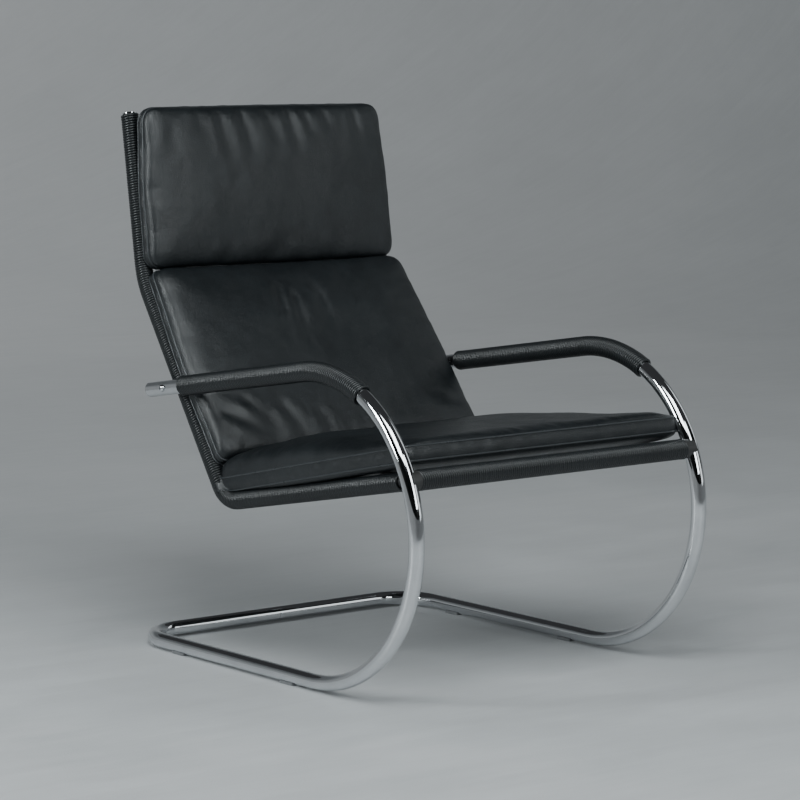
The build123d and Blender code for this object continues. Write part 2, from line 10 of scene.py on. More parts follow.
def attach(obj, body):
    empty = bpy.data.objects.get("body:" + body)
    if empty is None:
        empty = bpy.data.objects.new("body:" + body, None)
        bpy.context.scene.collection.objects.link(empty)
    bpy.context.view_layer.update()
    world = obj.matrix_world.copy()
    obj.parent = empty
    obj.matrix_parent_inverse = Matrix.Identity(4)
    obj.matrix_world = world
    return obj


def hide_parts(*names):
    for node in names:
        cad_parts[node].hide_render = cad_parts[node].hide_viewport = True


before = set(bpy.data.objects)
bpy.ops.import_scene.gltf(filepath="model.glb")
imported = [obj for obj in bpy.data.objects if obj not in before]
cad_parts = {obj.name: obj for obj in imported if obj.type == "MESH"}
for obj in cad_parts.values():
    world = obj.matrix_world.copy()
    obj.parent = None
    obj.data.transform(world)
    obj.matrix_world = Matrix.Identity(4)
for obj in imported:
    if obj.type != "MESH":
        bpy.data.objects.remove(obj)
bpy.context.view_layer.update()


# ---- Camera ----
# Stands before the chair on the sitter's right, at a seated person's eye height and a long way
# off with a long lens, and looks slightly down on it.

camera_place = (-3.6808, -4.5533, 1.1888)
camera_bearing = math.radians(-38.886)
camera_tilt = math.radians(82.563)
camera_roll = math.radians(0.298)
camera = bpy.data.objects.new("camera", bpy.data.cameras.new("camera"))
bpy.context.scene.collection.objects.link(camera)
camera.data.sensor_width = 36.0
camera.data.lens = 160.65
camera.data.shift_x = 0.0127
camera.data.shift_y = -0.0016
camera_turn = Matrix.Rotation(camera_bearing, 4, "Z") @ Matrix.Rotation(camera_tilt, 4, "X")
camera.matrix_world = Matrix.Translation(camera_place) @ camera_turn @ Matrix.Rotation(camera_roll, 4, "Z")
bpy.context.scene.camera = camera


# ---- Studio ----
# A grey painted floor that curves up into a wall all round, lit by soft boxes: one over the
# chair, one on each side of it and two in front that give the leather its sheen.

class Value:
    """A node's output that can be used in sums."""

    def __init__(self, finish, socket):
        self.finish = finish
        self.socket = socket

    def combine(self, operation, first, second):
        return self.finish.node("ShaderNodeMath", {"operation": operation}, {0: first, 1: second})

    def __add__(self, other):
        return self.combine("ADD", self, other)

    def __radd__(self, other):
        return self.combine("ADD", other, self)

    def __sub__(self, other):
        return self.combine("SUBTRACT", self, other)

    def __rsub__(self, other):
        return self.combine("SUBTRACT", other, self)

    def __mul__(self, other):
        return self.combine("MULTIPLY", self, other)

    def __rmul__(self, other):
        return self.combine("MULTIPLY", other, self)

    def __pow__(self, other):
        return self.combine("POWER", self, other)


class Finish:
    """A material, and the nodes that vary it over the surface."""

    def __init__(self, name, **constants):
        self.material = bpy.data.materials.new(name)
        self.material.use_nodes = True
        self.tree = self.material.node_tree
        self.shader = self.tree.nodes["Principled BSDF"]
        for socket, value in constants.items():
            self.shader.inputs[socket.replace("_", " ")].default_value = value
        colour = self.shader.inputs["Base Color"].default_value
        self.material.diffuse_color = tuple(colour)

    def node(self, kind, settings=None, sockets=None, output=0):
        """A new node. Its sockets take constants or the outputs of other nodes."""
        made = self.tree.nodes.new(kind)
        for name, value in (settings or {}).items():
            setattr(made, name, value)
        for name, value in (sockets or {}).items():
            if isinstance(value, Value):
                self.tree.links.new(value.socket, made.inputs[name])
            else:
                made.inputs[name].default_value = value
        return Value(self, made.outputs[output])

    def place(self, scale=(1, 1, 1), turn=(0, 0, 0)):
        """The piece's own coordinates in metres, stretched and turned."""
        here = self.node("ShaderNodeTexCoord", output="Object")
        return self.node("ShaderNodeMapping", None, {"Vector": here, "Rotation": turn, "Scale": scale})

    def noise(self, place, scale, detail=2.0, roughness=0.5, distortion=0.0):
        """Cloudy values from 0 to 1, so many to the metre."""
        return self.node("ShaderNodeTexNoise", None, {
            "Vector": place, "Scale": scale, "Detail": detail,
            "Roughness": roughness, "Distortion": distortion})

    def cells(self, place, scale):
        """The distance to the nearest border between small cells, so many to the metre."""
        return self.node("ShaderNodeTexVoronoi", {"feature": "DISTANCE_TO_EDGE"}, {
            "Vector": place, "Scale": scale})

    def spread(self, value, low, high, new_low=0.0, new_high=1.0):
        """The value's range from low to high, stretched to a new range and held there."""
        return self.node("ShaderNodeMapRange", None, {
            "Value": value, "From Min": low, "From Max": high, "To Min": new_low, "To Max": new_high})

    def mix(self, mask, first, second):
        """The first colour where the mask is 0, and the second where it is 1."""
        return self.node("ShaderNodeMix", {"data_type": "RGBA"}, {0: mask, 6: first, 7: second}, output=2)

    def feed(self, socket, value):
        """Sends a value to one of the shader's sockets."""
        self.tree.links.new(value.socket, self.shader.inputs[socket])

    def bump(self, *layers):
        """Relief from pairs of height and depth in metres, one over the other."""
        normal = None
        for height, depth in layers:
            sockets = {"Height": height, "Distance": depth, "Strength": 1.0}
            if normal is not None:
                sockets["Normal"] = normal
            normal = self.node("ShaderNodeBump", None, sockets)
        self.feed("Normal", normal)

    def wear(self, *pieces):
        """Gives the pieces this finish in place of their own."""
        for piece in pieces:
            piece.data.materials.clear()
            piece.data.materials.append(self.material)


def start_clean():
    """Nothing selected, in object mode, before a new piece is added."""
    if bpy.context.object and bpy.context.object.mode != "OBJECT":
        bpy.ops.object.mode_set(mode="OBJECT")
    bpy.ops.object.select_all(action="DESELECT")


floor_radius = 5.0
sweep_radius = 2.5
sweep_steps = 12
wall_height = 4.5
start_clean()
bpy.ops.mesh.primitive_circle_add(vertices=96, radius=floor_radius, fill_type="NGON")
floor = bpy.context.object
floor.name = "studio_floor"
bpy.ops.object.mode_set(mode="EDIT")
bpy.ops.mesh.select_mode(type="EDGE")
bpy.ops.mesh.select_all(action="SELECT")
bpy.ops.mesh.region_to_loop()
for step in range(sweep_steps):
    angle = math.radians(90 * (step + 1) / sweep_steps)
    before = math.radians(90 * step / sweep_steps)
    radius = floor_radius + sweep_radius * math.sin(angle)
    radius_before = floor_radius + sweep_radius * math.sin(before)
    rise = sweep_radius * (math.cos(before) - math.cos(angle))
    bpy.ops.mesh.extrude_edges_move(TRANSFORM_OT_translate={"value": (0, 0, rise)})
    grow = radius / radius_before
    bpy.ops.transform.resize(value=(grow, grow, 1), center_override=(0, 0, 0))
bpy.ops.mesh.extrude_edges_move(TRANSFORM_OT_translate={"value": (0, 0, wall_height - sweep_radius)})
bpy.ops.mesh.select_all(action="SELECT")
bpy.ops.mesh.normals_make_consistent(inside=True)
bpy.ops.object.mode_set(mode="OBJECT")
bpy.ops.object.shade_smooth_by_angle(angle=math.radians(40))

floor_paint = Finish("floor_paint", Base_Color=(0.42, 0.43, 0.44, 1), Roughness=0.55)
spot = floor_paint.place()
patches = floor_paint.noise(spot, 1.6, 4.0, 0.6)
scuffs = floor_paint.noise(floor_paint.place((1, 3.5, 1), (0, 0, 0.6)), 3.0, 5.0, 0.65, 0.4)
scratches = floor_paint.noise(floor_paint.place((0.7, 9, 1), (0, 0, 0.5)), 5.0, 6.0, 0.7, 1.2)
mottle = patches * 0.5 + scuffs * 0.25 + scratches * 0.25
floor_paint.feed("Base Color", floor_paint.mix(
    floor_paint.spread(mottle, 0.3, 0.7), (0.362, 0.373, 0.381, 1), (0.485, 0.498, 0.507, 1)))
floor_paint.feed("Roughness", floor_paint.spread(scuffs, 0.3, 0.7, 0.46, 0.62))
floor_paint.bump((floor_paint.noise(spot, 260.0, 3.0), 0.0004))

# A faint glow stands for the light that a studio's walls throw back. It grows with the distance
# from the chair, and fades with the height and towards the right of the picture.
picture_turn = (0, 0, 0.68)
height = floor_paint.node("ShaderNodeSeparateXYZ", None, {"Vector": spot}, output="Z")
sideways = floor_paint.node("ShaderNodeSeparateXYZ", None, {"Vector": floor_paint.place(turn=picture_turn)})
away = floor_paint.node("ShaderNodeVectorMath", {"operation": "LENGTH"}, {0: floor_paint.place((1, 1, 0))},
                        output="Value")
far_glow = floor_paint.spread(away, 0.55, 4.6) ** 0.55
wall_glow = far_glow * floor_paint.spread(height, 1.6, 3.2, 1.0, 0.12) \
    * floor_paint.spread(sideways, -1.4, 1.4, 1.0, 0.47)
floor_paint.feed("Emission Color", floor_paint.mix(wall_glow, (0, 0, 0, 1), (0.190, 0.199, 0.203, 1)))
floor_paint.shader.inputs["Emission Strength"].default_value = 1.0
floor_paint.wear(floor)

world = bpy.data.worlds.new("studio_air")
bpy.context.scene.world = world
world.use_nodes = True
world.node_tree.nodes["Background"].inputs["Color"].default_value = (0.5, 0.52, 0.55, 1)
world.node_tree.nodes["Background"].inputs["Strength"].default_value = 0.08


def soft_box(name, place, aim, width, height, power, spread=180):
    """A rectangular soft light at a place, turned to face a point."""
    lamp = bpy.data.lights.new(name, "AREA")
    lamp.shape = "RECTANGLE"
    lamp.size = width
    lamp.size_y = height
    lamp.energy = power
    lamp.color = (0.94, 1.0, 1.015)
    lamp.spread = math.radians(spread)
    box = bpy.data.objects.new(name, lamp)
    bpy.context.scene.collection.objects.link(box)
    box.location = place
    box.rotation_euler = (Vector(aim) - Vector(place)).to_track_quat("-Z", "Y").to_euler()
    box.visible_camera = False


soft_box("top_light", (-1.2, -1.7, 3.0), aim=(0, 0, 0.3), width=1.7, height=1.6, power=80)
soft_box("right_light", (-3.0, 0.4, 1.8), aim=(0, -0.1, 0.8), width=0.55, height=1.6, power=38, spread=120)
soft_box("left_light", (3.4, -0.6, 2.2), aim=(0, 0, 0.5), width=1.0, height=2.2, power=8)
soft_box("front_light", (0.15, -3.05, 2.1), aim=(-0.1, 0.2, 0.6), width=1.1, height=2.1, power=46)
soft_box("sheen_light", (2.9, -3.3, 1.5), aim=(0, 0, 0.6), width=2.0, height=1.6, power=15)

# Black flags on the side of the camera keep the polished tubes dark between the soft boxes and
# the floor. They show in reflections only.
flag_radius = 4.6
flag_height = 2.6
flag_middle = (0, 0, 2.2)
start_clean()
bpy.ops.mesh.primitive_cylinder_add(vertices=48, radius=flag_radius, depth=flag_height,
                                    end_fill_type="NOTHING", location=flag_middle)
flags = bpy.context.object
flags.name = "studio_flags"
bpy.ops.object.mode_set(mode="EDIT")
bpy.ops.mesh.select_all(action="SELECT")
bpy.ops.mesh.bisect(plane_co=(0, 0, 0), plane_no=(0.25, 1, 0), clear_outer=True)
bpy.ops.object.mode_set(mode="OBJECT")
bpy.ops.object.transform_apply(location=True, rotation=True, scale=True)
flags.visible_camera = False
flags.visible_diffuse = False
flags.visible_shadow = False
flag_cloth = Finish("black_flag_cloth", Base_Color=(0.006, 0.006, 0.006, 1), Roughness=0.9)
flag_cloth.wear(flags)


# ---- Chromed frame ----
# One bent steel tube line in two halves, joined inside the rear floor bar: the bar, the two
# runners, the front bends and the arms. The steel is polished and chrome plated, as are its
# bolts, spacers, collars and end caps.

chrome = Finish("polished_chrome", Base_Color=(0.80, 0.81, 0.82, 1), Metallic=1.0, Roughness=0.05)
spot = chrome.place()
smears = chrome.noise(chrome.place((1, 1, 2.2)), 9.0, 5.0, 0.62, 0.8)
hairlines = chrome.noise(chrome.place((90, 1.5, 90)), 9.0, 2.0)
haze = chrome.spread(smears, 0.42, 0.75)
chrome.feed("Roughness", haze * 0.05 + chrome.spread(hairlines, 0.35, 0.75, 0.03, 0.055))
chrome.feed("Base Color", chrome.mix(haze, (0.70, 0.71, 0.725, 1), (0.62, 0.632, 0.65, 1)))
chrome.bump((chrome.noise(spot, 38.0, 2.0), 0.00004))
chrome_nodes = ["frame_tube_right", "frame_tube_left", "arm_end_caps", "rail_end_caps", "arm_spacers",
                "nape_rod_collars", "arm_bolts", "arm_bolt_washers", "arm_nuts"]
chrome.wear(*[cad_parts[name] for name in chrome_nodes])


# ---- Plain steel inside ----
# The front bar's tube under its winding, the joint's sleeve and screws, and the studs with their
# threaded barrels: turned or drawn steel, hardly seen when the chair is together.

bright_steel = Finish("drawn_steel", Base_Color=(0.62, 0.62, 0.63, 1), Metallic=1.0, Roughness=0.32)
drawn = bright_steel.noise(bright_steel.place((2, 160, 160)), 12.0, 3.0)
bright_steel.feed("Roughness", bright_steel.spread(drawn, 0.3, 0.7, 0.24, 0.42))
bright_steel.feed("Base Color", bright_steel.mix(drawn, (0.56, 0.56, 0.57, 1), (0.66, 0.66, 0.67, 1)))
bright_steel.bump((drawn, 0.00006))
bright_steel.wear(*[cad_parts[name] for name in (
    "frame_joint_sleeve", "frame_joint_screws", "front_bar", "front_studs", "front_rivet_nuts")])


# ---- Black parts ----
# The side rails, their two cross rods and the strap lugs are steel with a satin black powder
# coat. The saddles between the bar and the loops, and the bar's plugs, are black nylon.

powder_coat = Finish("black_powder_coat", Base_Color=(0.016, 0.016, 0.017, 1), Roughness=0.42)
orange_peel = powder_coat.noise(powder_coat.place(), 900.0, 2.0)
rubbed = powder_coat.noise(powder_coat.place(), 55.0, 4.0, 0.6)
powder_coat.feed("Roughness", powder_coat.spread(rubbed, 0.35, 0.7, 0.36, 0.52))
powder_coat.feed("Base Color", powder_coat.mix(rubbed, (0.012, 0.012, 0.013, 1), (0.024, 0.024, 0.025, 1)))
powder_coat.bump((orange_peel, 0.00008))
powder_coat.wear(*[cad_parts[name] for name in (
    "side_rail_right", "side_rail_left", "nape_rod", "heel_rod", "strap_lugs_right", "strap_lugs_left")])

nylon = Finish("black_nylon", Base_Color=(0.018, 0.018, 0.018, 1), Roughness=0.5)
moulded = nylon.noise(nylon.place(), 1400.0, 2.0)
scuffed = nylon.noise(nylon.place((1, 1, 3)), 70.0, 4.0, 0.65)
nylon.feed("Roughness", nylon.spread(scuffed, 0.3, 0.7, 0.4, 0.62))
nylon.feed("Base Color", nylon.mix(scuffed, (0.013, 0.013, 0.013, 1), (0.028, 0.028, 0.028, 1)))
nylon.bump((moulded, 0.00005))
nylon.wear(*[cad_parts[name] for name in ("front_saddles", "front_bar_plugs")])


# ---- Glides and rivets ----
# The thin glides under the runners are grey plastic, coloured darker than their own grey as painted shade
# under the runners. The rivets that hold the straps are pressed steel, duller than the chrome.

glide_plastic = Finish("clear_grey_plastic", Base_Color=(0.30, 0.31, 0.32, 1), Roughness=0.35)
scratched = glide_plastic.noise(glide_plastic.place((1, 6, 6)), 160.0, 4.0, 0.6)
# Painted shade: the glides' grey is kept dark so that they sink into the shadow under the runners.
glide_plastic.feed("Base Color", glide_plastic.mix(
    scratched, (0.11, 0.115, 0.12, 1), (0.18, 0.185, 0.19, 1)))
glide_plastic.feed("Roughness", glide_plastic.spread(scratched, 0.3, 0.7, 0.28, 0.5))
glide_plastic.bump((scratched, 0.00008))
glide_plastic.wear(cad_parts["floor_glides"])

rivet_steel = Finish("rivet_steel", Base_Color=(0.42, 0.42, 0.43, 1), Metallic=1.0, Roughness=0.35)
pressed = rivet_steel.noise(rivet_steel.place(), 420.0, 3.0)
rivet_steel.feed("Roughness", rivet_steel.spread(pressed, 0.3, 0.7, 0.26, 0.48))
rivet_steel.feed("Base Color", rivet_steel.mix(pressed, (0.34, 0.34, 0.35, 1), (0.5, 0.5, 0.51, 1)))
rivet_steel.bump((pressed, 0.00005))
rivet_steel.wear(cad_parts["strap_rivets"])


# ---- Cord windings ----
# Round black leather cord, wound tightly by hand round the arms, the side rails and the front
# bar, turn beside turn. The last turns ride over the tucked-in end and stand a little higher.

cord_leather = Finish("cord_leather", Base_Color=(0.018, 0.018, 0.019, 1), Roughness=0.5)
spot = cord_leather.place()
handling = cord_leather.noise(spot, 9.0, 3.0, 0.55)
grain = cord_leather.noise(spot, 1500.0, 3.0)
cord_leather.feed("Base Color", cord_leather.mix(
    cord_leather.spread(handling, 0.35, 0.7), (0.0062, 0.0078, 0.0088, 1), (0.0105, 0.0128, 0.0142, 1)))
cord_leather.feed("Roughness", cord_leather.spread(handling, 0.3, 0.7, 0.38, 0.29))
cord_leather.bump((grain, 0.00003))

# The cord stands a little over the plain sleeves of the solids, which are two cord radii thick.
# It is a little wider than its spacing, so that neighbouring turns press together.
cord_radius = 0.0020
cord_width_radius = 0.00222
cord_over_sleeve = 0.0002
cord_pitch = 0.0043
points_per_turn = 20

# Wound by hand, each turn lies a little higher or lower and to one side. The last turns are raised.
turn_lifts = (-0.00005, 0.00007)
turn_drifts = (-0.00009, 0.00009)
raised_turns = 1.9
raised_by = 0.0003
raised_within = 0.4

# Places on the frame are in millimetres, with Y counted from the rear floor bar. Radii and
# lengths are in metres.
rear_bar_y = 322.087
tube_radius = 0.0125
arm_half_width = 295
arm_start_y = -458.837
arm_start_z = 504.508
arm_slope = math.radians(9.7)
arm_wound_length = 0.32696
arm_bend_radius = 0.244
wound_turn = math.radians(36.8)
rail_radius = 0.011
rail_corners = [(273, -722.960, 363.0), (273, -228.22, 266.832),
                (252, 32.952, 608.431), (238, 96.5005, 883.69)]
rail_bend_radii = [0.0495, 0.141]
rail_cord_start = 0.038
bar_wound_half = 279.6


def rounded_route(corners, radii):
    """Straight runs and arcs through corner points, as (length, point and direction at a length)."""
    stretches = []
    start = corners[0]
    for corner, after, radius in zip(corners[1:-1], corners[2:], radii):
        inward = (corner - start).normalized()
        outward = (after - corner).normalized()
        turn = inward.angle(outward)
        reach = radius * math.tan(turn / 2)
        bend_start = corner - inward * reach
        axis = inward.cross(outward).normalized()
        centre = bend_start + axis.cross(inward) * radius
        stretches.append(((bend_start - start).length, start, inward, None))
        stretches.append((radius * turn, bend_start, inward, (centre, axis, radius)))
        start = corner + outward * reach
    last = (corners[-1] - start).normalized()
    stretches.append(((corners[-1] - start).length, start, last, None))
    total = sum(stretch[0] for stretch in stretches)

    def at(distance):
        for length, origin, direction, arc in stretches:
            if distance <= length or origin is stretches[-1][1]:
                break
            distance -= length
        if arc is None:
            return origin + direction * distance, direction
        centre, axis, radius = arc
        swing = Matrix.Rotation(distance / radius, 3, axis)
        return centre + swing @ (origin - centre), swing @ direction

    return total, at


def round_tube(name, places, radius, bevel_resolution, closed):
    """A round tube through a row of points, as a mesh of its own."""
    curve = bpy.data.curves.new(name, "CURVE")
    curve.dimensions = "3D"
    curve.bevel_depth = radius
    curve.bevel_resolution = bevel_resolution
    curve.use_fill_caps = not closed
    spline = curve.splines.new("POLY")
    spline.points.add(len(places) - 1)
    spline.points.foreach_set("co", [value for place in places for value in (*place, 1.0)])
    spline.use_cyclic_u = closed
    tube = bpy.data.objects.new(name, curve)
    bpy.context.scene.collection.objects.link(tube)
    start_clean()
    tube.select_set(True)
    bpy.context.view_layer.objects.active = tube
    bpy.ops.object.convert(target="MESH")
    tube = bpy.context.object
    tube.data.shade_smooth()
    return tube


def wind_cord(name, corners, radii, core_radius, seed):
    """One length of cord wound round a route, as a closed tube with its own mesh."""
    chance = random.Random(seed)
    total, at = rounded_route(corners, radii)
    wound = total - 2 * cord_radius
    turns = int(wound / cord_pitch)
    places = []
    lift = drift = 0.0
    for number in range(turns * points_per_turn + 1):
        if number % points_per_turn == 0:
            lift = chance.uniform(*turn_lifts)
            drift = chance.uniform(*turn_drifts)
        turn = number / points_per_turn
        to_end = min(turn, turns - turn)
        raised = raised_by * min(1.0, max(0.0, raised_turns - to_end) / raised_within)
        distance = cord_radius + wound * turn / turns + drift * min(1.0, to_end)
        point, direction = at(min(max(distance, cord_radius), total - cord_radius))
        reference = Vector((1, 0, 0)) if abs(direction.x) < 0.7 else Vector((0, 0, 1))
        side = (reference - direction * direction.dot(reference)).normalized()
        up = direction.cross(side)
        angle = 2 * math.pi * turn
        reach = core_radius + 2 * cord_radius + cord_over_sleeve - cord_width_radius + lift + raised
        places.append(point + (side * math.cos(angle) + up * math.sin(angle)) * reach)
    return round_tube(name, places, cord_width_radius, bevel_resolution=3, closed=False)


def side_point(half_width, y, z):
    """A point in metres from its millimetres, with Y counted from the rear floor bar."""
    return Vector((half_width / 1000, (rear_bar_y + y) / 1000, z / 1000))


def place_cord(cord, node):
    """Takes a finished cord into the chair, in place of its plain sleeve."""
    cord_leather.wear(cord)
    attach(cord, "root")
    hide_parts(node)


rail_lines = []
for side, sign in (("right", -1), ("left", 1)):
    straight_start = side_point(sign * arm_half_width, arm_start_y, arm_start_z)
    arm_way = Vector((0, math.cos(arm_slope), -math.sin(arm_slope)))
    bend_way = Vector((0, math.cos(wound_turn - arm_slope), math.sin(wound_turn - arm_slope)))
    corner_reach = arm_bend_radius * math.tan(wound_turn / 2)
    arm_corner = straight_start - arm_way * corner_reach
    arm_corners = [arm_corner - bend_way * corner_reach, arm_corner,
                   straight_start + arm_way * arm_wound_length]
    arm_cord = wind_cord(f"arm_cord_{side}", arm_corners, [arm_bend_radius], tube_radius, seed=3 + sign)
    rail_line = [side_point(sign * half, y, z) for half, y, z in rail_corners]
    rail_line[0] = rail_line[0] + (rail_line[1] - rail_line[0]).normalized() * rail_cord_start
    rail_lines.append(rail_line)
    rail_cord = wind_cord(f"rail_cord_{side}", rail_line, rail_bend_radii, rail_radius, seed=7 + sign)
    place_cord(arm_cord, f"arm_winding_{side}")
    place_cord(rail_cord, f"rail_winding_{side}")

bar_ends = [side_point(sign * bar_wound_half, *rail_corners[0][1:]) for sign in (-1, 1)]
bar_cord = wind_cord("bar_cord", bar_ends, [], tube_radius, seed=21)
place_cord(bar_cord, "front_bar_winding")


# ---- Straps ----
# Eleven bands of black polyester webbing carry the cushions. Each is woven of fine diagonal
# threads over ribs, has rounded edges, and is riveted at both ends to a steel lug on the rails.

webbing = Finish("black_webbing", Base_Color=(0.02, 0.02, 0.02, 1), Roughness=0.8)
on_band = webbing.node("ShaderNodeTexCoord", output="UV")
threads = webbing.node("ShaderNodeTexWave", {"wave_type": "BANDS", "bands_direction": "DIAGONAL"}, {
    "Vector": on_band, "Scale": 420.0, "Distortion": 0.6, "Detail": 1.0})
ribs = webbing.node("ShaderNodeTexWave", {"wave_type": "BANDS", "bands_direction": "Y"}, {
    "Vector": on_band, "Scale": 160.0, "Distortion": 0.3})
fluff = webbing.noise(on_band, 1800.0, 3.0)
weave = threads * 0.6 + ribs * 0.4
webbing.feed("Base Color", webbing.mix(
    weave * 0.7 + fluff * 0.3, (0.009, 0.009, 0.01, 1), (0.034, 0.034, 0.036, 1)))
webbing.feed("Roughness", webbing.spread(fluff, 0.2, 0.8, 0.7, 0.9))
webbing.bump((weave, 0.0004), (fluff, 0.0001))

# A band is flat over most of its width, then thinner towards its rounded edges. The thicknesses
# are shares of the solid's.
flat_share = 0.75
edge_thickness = 0.72
band_thickness = 0.98
band_ripple = 0.0002


def lay_strap(node):
    """A webbing band that fills the place of a strap's solid, with rounded long edges."""
    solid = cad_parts[node]
    points = np.array([vertex.co for vertex in solid.data.vertices])
    middle = Vector((points.max(0) + points.min(0)) / 2)
    flat = points[:, 1:] - points[:, 1:].mean(0)
    spread_axes = np.linalg.svd(flat, full_matrices=False)[2]
    long_way = Vector((0, *spread_axes[0]))
    thin_way = Vector((1, 0, 0)).cross(long_way)
    half_length = (points[:, 0].max() - points[:, 0].min()) / 2
    half_width = np.abs(flat @ spread_axes[0]).max()
    half_thick = np.abs(flat @ spread_axes[1]).max()
    start_clean()
    bpy.ops.mesh.primitive_grid_add(x_subdivisions=56, y_subdivisions=8, size=2)
    band = bpy.context.object
    band.name = node.replace("strap", "band")
    uv = band.data.uv_layers.active
    for loop in band.data.loops:
        across_x, along_y = band.data.vertices[loop.vertex_index].co[:2]
        uv.data[loop.index].uv = (across_x * half_length, along_y * half_width)
    bpy.ops.object.mode_set(mode="EDIT")
    bpy.ops.mesh.select_all(action="SELECT")
    bpy.ops.mesh.extrude_region_move(TRANSFORM_OT_translate={"value": (0, 0, 2)})
    bpy.ops.mesh.select_all(action="SELECT")
    bpy.ops.mesh.normals_make_consistent(inside=False)
    bpy.ops.object.mode_set(mode="OBJECT")
    for vertex in band.data.vertices:
        x, y, z = vertex.co
        edge = max(0.0, (abs(y) - flat_share) / (1 - flat_share))
        swell = edge_thickness + (1 - edge_thickness) * math.sqrt(max(0.0, 1 - edge * edge))
        height = (z - 1) * half_thick * swell * band_thickness
        ripple = band_ripple * math.sin(x * 9 + y * 2)
        vertex.co = middle + Vector((x * half_length, 0, 0)) + long_way * (y * half_width) \
            + thin_way * (height + ripple)
    band.data.shade_smooth()
    webbing.wear(band)
    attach(band, "root")
    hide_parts(node)


for name, count in (("seat", 4), ("back", 4), ("head", 3)):
    for number in range(1, count + 1):
        lay_strap(f"{name}_strap_{number}")


# ---- Leather cushions ----
# Three loose cushions of soft black aniline leather over foam. Each has a sewn band all round,
# a crowned face that the filling pushes out, and a flatter underside that lies on the straps.

cushion_leather = Finish("cushion_leather", Base_Color=(0.016, 0.017, 0.019, 1), Roughness=0.42)
spot = cushion_leather.place()
pebbles = cushion_leather.cells(spot, 620.0)
pores = cushion_leather.noise(spot, 1500.0, 3.0)
veins = cushion_leather.noise(spot, 40.0, 4.0, 0.55, 0.3)
grain = cushion_leather.noise(spot, 300.0, 2.0)
cloudy = cushion_leather.noise(spot, 7.0, 4.0, 0.6, 0.6)
cushion_leather.feed("Base Color", cushion_leather.mix(
    cushion_leather.spread(cloudy * 0.7 + veins * 0.3, 0.35, 0.68),
    (0.0044, 0.0060, 0.0071, 1), (0.0094, 0.0120, 0.0137, 1)))
cushion_leather.feed("Roughness", cushion_leather.spread(cloudy * 0.5 + veins * 0.5, 0.3, 0.7, 0.29, 0.41))
cushion_leather.bump((veins, 0.0007), (grain, 0.00014),
                     (cushion_leather.spread(pebbles, 0.0, 0.3), 0.00013), (pores, 0.00004))

# The seam rolls are coloured lighter than the cushion leather as a painted highlight along each seam. Its
# noise also varies them in patches, as worn leather is.
seam_leather = Finish("seam_leather", Base_Color=(0.014, 0.015, 0.016, 1), Roughness=0.4)
spot = seam_leather.place()
seam_grain = seam_leather.noise(spot, 900.0, 3.0)
seam_wear_and_sheen = seam_leather.noise(spot, 60.0, 4.0)
seam_leather.feed("Base Color", seam_leather.mix(
    seam_wear_and_sheen, (0.016, 0.019, 0.021, 1), (0.04, 0.045, 0.049, 1)))
seam_leather.feed("Roughness", seam_leather.spread(seam_wear_and_sheen, 0.3, 0.7, 0.38, 0.26))
seam_leather.bump((seam_grain, 0.0001))

thread = Finish("black_thread", Base_Color=(0.02, 0.02, 0.021, 1), Roughness=0.6)
twist = thread.node("ShaderNodeTexWave", {"bands_direction": "DIAGONAL"}, {
    "Vector": thread.place(), "Scale": 900.0, "Distortion": 0.5})
thread.feed("Base Color", thread.mix(twist, (0.012, 0.012, 0.013, 1), (0.035, 0.035, 0.037, 1)))
thread.feed("Roughness", thread.spread(twist, 0.0, 1.0, 0.66, 0.5))
thread.bump((twist, 0.00008))


def run_frame(foot, angle, distance, lift, turn):
    """Corner and axes of a place over a run of the rails: across, up along it, and off it."""
    run = math.radians(angle)
    corner = Vector(foot) + Vector((0, math.cos(run), math.sin(run))) * distance
    corner += Vector((0, -math.sin(run), math.cos(run))) * lift
    tilt = math.radians(angle + turn)
    axes = Matrix(((1, 0, 0), (0, math.cos(tilt), -math.sin(tilt)), (0, math.sin(tilt), math.cos(tilt))))
    return Matrix.Translation(corner) @ axes.to_4x4()


# How a cushion's outline bows out: at its ends in metres, at its sides as a share of its length.
end_bulge = 0.0008
side_bulge = 0.013


def cushion_outline(low_half, high_half, length, corner_radius, steps):
    """Four sides of the rounded outline, each from the middle of one corner to the next.

    The arc at a corner and the straight side are sampled closely first, and then divided evenly.
    """
    arc_steps = 12
    side_steps = 60
    corners = [(-low_half, 0.0), (low_half, 0.0), (high_half, length), (-high_half, length)]
    starts = [180 + 45, 270 + 45, 45, 90 + 45]
    centres = []
    for (x, y), inward_x, inward_y in zip(corners, (1, -1, -1, 1), (1, 1, -1, -1)):
        centres.append(Vector((x + inward_x * corner_radius, y + inward_y * corner_radius)))
    sides = []
    for number in range(4):
        first, second = centres[number], centres[(number + 1) % 4]
        out_way = math.radians(starts[number] + 45)
        outward = Vector((math.cos(out_way), math.sin(out_way)))
        samples = []
        bulge = side_bulge * length if number % 2 else end_bulge
        for step in range(arc_steps):
            angle = math.radians(starts[number] + 45 * step / arc_steps)
            samples.append(first + Vector((math.cos(angle), math.sin(angle))) * corner_radius)
        for step in range(side_steps + 1):
            part = step / side_steps
            swell = bulge * math.sin(math.pi * part) ** 2
            samples.append(first.lerp(second, part) + outward * (corner_radius + swell))
        for step in range(1, arc_steps + 1):
            angle = out_way + math.radians(45 * step / arc_steps)
            samples.append(second + Vector((math.cos(angle), math.sin(angle))) * corner_radius)
        lengths = [0.0]
        for before, after in zip(samples, samples[1:]):
            lengths.append(lengths[-1] + (after - before).length)
        count = steps[number % 2]
        side = []
        place = 0
        for step in range(count + 1):
            wanted = lengths[-1] * step / count
            while place < len(lengths) - 2 and lengths[place + 1] < wanted:
                place += 1
            part = (wanted - lengths[place]) / (lengths[place + 1] - lengths[place])
            side.append(samples[place].lerp(samples[place + 1], part))
        sides.append(side)
    return sides


